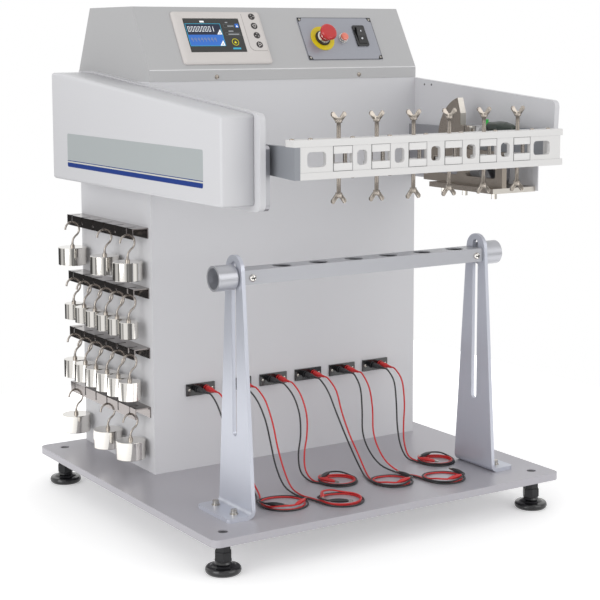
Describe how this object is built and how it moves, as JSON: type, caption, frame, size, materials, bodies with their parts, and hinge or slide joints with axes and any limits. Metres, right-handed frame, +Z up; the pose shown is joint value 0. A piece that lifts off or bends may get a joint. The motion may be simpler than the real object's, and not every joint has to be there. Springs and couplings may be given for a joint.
{
  "type": "cable flex tester",
  "caption": "Cabinet machine that swings sample cables, clamped in a pivoting frame, over an adjustable guide tube with hanging weights and test leads",
  "frame": {"origin": "on the floor under the middle of the machine's overall box", "axes": "+X to the machine's right as seen from the front, +Y to the back, +Z up"},
  "size_m": [0.85, 0.883, 1.071],
  "materials": {
    "base_steel": "satin",
    "black_plastic": "gloss",
    "black_steel": "satin",
    "body_paint": "satin",
    "galvanised": "matte",
    "console_paint": "satin",
    "bezel_plastic": "matte",
    "screen": "gloss",
    "panel_aluminium": "brushed",
    "yellow_plastic": "gloss",
    "lamp": "gloss",
    "machined_steel": "machined",
    "nickel": "satin",
    "cast_aluminium": "satin",
    "motor_paint": "satin",
    "dark_plastic": "matte",
    "belt_rubber": "matte",
    "bolt_steel": "satin",
    "upright_aluminium": "brushed",
    "rail_steel": "brushed",
    "weight_chrome": "polished",
    "hook_steel": "satin",
    "lead_rubber": "satin",
    "bar_aluminium": "satin",
    "red_plastic": "gloss",
    "guide_aluminium": "satin"
  },
  "bodies": {
    "machine": {"base_plate": "base_steel", "foot_pads": "black_plastic", "foot_studs": "black_steel", "cabinet_shell": "body_paint", "rear_panel": "body_paint", "electronics_plate": "galvanised", "console_shell": "console_paint", "hmi_bezel": "bezel_plastic", "hmi_screen": "screen", "switch_plate": "panel_aluminium", "estop_base": "yellow_plastic", "pilot_lamp": "lamp", "rocker_frame": "black_plastic", "left_wing": "body_paint", "belt_cover": "body_paint", "right_wing": "body_paint", "bearing_plates": "machined_steel", "shaft_bearings": "machined_steel", "motor_bracket": "nickel", "bracket_shelf": "nickel", "gearbox": "cast_aluminium", "drive_motor": "motor_paint", "angle_encoder": "dark_plastic", "timing_belt": "belt_rubber", "frame_bolts": "bolt_steel", "uprights": "upright_aluminium", "hook_rails": "rail_steel", "hanging_weights": "weight_chrome", "weight_hooks": "hook_steel", "terminal_plates": "black_plastic", "lead_plugs": "dark_plastic", "test_leads": "lead_rubber", "lead_coils": "lead_rubber", "lead_clips": "lead_rubber"},
    "swing_frame": {"swing_shafts": "machined_steel", "swing_pulley": "machined_steel", "swing_arms": "machined_steel", "counterweight": "nickel", "clamp_rails": "bar_aluminium", "window_plates": "bar_aluminium", "guide_pins": "hook_steel"},
    "top_jaw_1": {"top_clamp_1": "bar_aluminium"},
    "top_jaw_2": {"top_clamp_2": "bar_aluminium"},
    "top_jaw_3": {"top_clamp_3": "bar_aluminium"},
    "top_jaw_4": {"top_clamp_4": "bar_aluminium"},
    "top_jaw_5": {"top_clamp_5": "bar_aluminium"},
    "top_jaw_6": {"top_clamp_6": "bar_aluminium"},
    "low_jaw_1": {"low_clamp_1": "bar_aluminium"},
    "low_jaw_2": {"low_clamp_2": "bar_aluminium"},
    "low_jaw_3": {"low_clamp_3": "bar_aluminium"},
    "low_jaw_4": {"low_clamp_4": "bar_aluminium"},
    "low_jaw_5": {"low_clamp_5": "bar_aluminium"},
    "low_jaw_6": {"low_clamp_6": "bar_aluminium"},
    "encoder_shaft": {"encoder_pulley": "machined_steel"},
    "stop_button": {"estop_button": "red_plastic"},
    "power_rocker": {"rocker": "black_plastic"},
    "cable_guide": {"guide_tube": "guide_aluminium", "guide_bushes": "hook_steel"},
    "left_clamp_knob": {"left_knob": "guide_aluminium"},
    "right_clamp_knob": {"right_knob": "guide_aluminium"}
  },
  "joints": [
    {"name": "swing", "type": "hinge", "parent": "machine", "child": "swing_frame", "pos_m": [0, -0.1945, 0.788], "axis": [-1, 0, 0], "range_deg": [0, 180]},
    {"name": "encoder_spin", "type": "hinge", "parent": "machine", "child": "encoder_shaft", "pos_m": [0, 0.2835, 0.815], "axis": [-1, 0, 0], "range_deg": [0, 360]},
    {"name": "top_jaw_1_travel", "type": "slide", "parent": "swing_frame", "child": "top_jaw_1", "axis": [0, 0, -1], "range_m": [0, 0.008]},
    {"name": "top_jaw_2_travel", "type": "slide", "parent": "swing_frame", "child": "top_jaw_2", "axis": [0, 0, -1], "range_m": [0, 0.008]},
    {"name": "top_jaw_3_travel", "type": "slide", "parent": "swing_frame", "child": "top_jaw_3", "axis": [0, 0, -1], "range_m": [0, 0.008]},
    {"name": "top_jaw_4_travel", "type": "slide", "parent": "swing_frame", "child": "top_jaw_4", "axis": [0, 0, -1], "range_m": [0, 0.008]},
    {"name": "top_jaw_5_travel", "type": "slide", "parent": "swing_frame", "child": "top_jaw_5", "axis": [0, 0, -1], "range_m": [0, 0.008]},
    {"name": "top_jaw_6_travel", "type": "slide", "parent": "swing_frame", "child": "top_jaw_6", "axis": [0, 0, -1], "range_m": [0, 0.008]},
    {"name": "low_jaw_1_travel", "type": "slide", "parent": "swing_frame", "child": "low_jaw_1", "axis": [0, 0, 1], "range_m": [0, 0.008]},
    {"name": "low_jaw_2_travel", "type": "slide", "parent": "swing_frame", "child": "low_jaw_2", "axis": [0, 0, 1], "range_m": [0, 0.008]},
    {"name": "low_jaw_3_travel", "type": "slide", "parent": "swing_frame", "child": "low_jaw_3", "axis": [0, 0, 1], "range_m": [0, 0.008]},
    {"name": "low_jaw_4_travel", "type": "slide", "parent": "swing_frame", "child": "low_jaw_4", "axis": [0, 0, 1], "range_m": [0, 0.008]},
    {"name": "low_jaw_5_travel", "type": "slide", "parent": "swing_frame", "child": "low_jaw_5", "axis": [0, 0, 1], "range_m": [0, 0.008]},
    {"name": "low_jaw_6_travel", "type": "slide", "parent": "swing_frame", "child": "low_jaw_6", "axis": [0, 0, 1], "range_m": [0, 0.008]},
    {"name": "stop_press", "type": "slide", "parent": "machine", "child": "stop_button", "axis": [0, 0.8654, -0.501], "range_m": [0, 0.005]},
    {"name": "rocker_tilt", "type": "hinge", "parent": "machine", "child": "power_rocker", "pos_m": [0.244, 0.12208, 1.00723], "axis": [-1, 0, 0], "range_deg": [0, 18]},
    {"name": "guide_height", "type": "slide", "parent": "machine", "child": "cable_guide", "axis": [0, 0, 1], "range_m": [-0.28, 0.02]},
    {"name": "left_knob_turn", "type": "hinge", "parent": "cable_guide", "child": "left_clamp_knob", "pos_m": [-0.294, -0.2345, 0.547], "axis": [-1, 0, 0], "range_deg": [0, 360]},
    {"name": "right_knob_turn", "type": "hinge", "parent": "cable_guide", "child": "right_clamp_knob", "pos_m": [0.302, -0.2345, 0.547], "axis": [1, 0, 0], "range_deg": [0, 360]}
  ],
  "couplings": [
    {"joint": "encoder_spin", "follows": "swing", "ratio": 2}
  ]
}
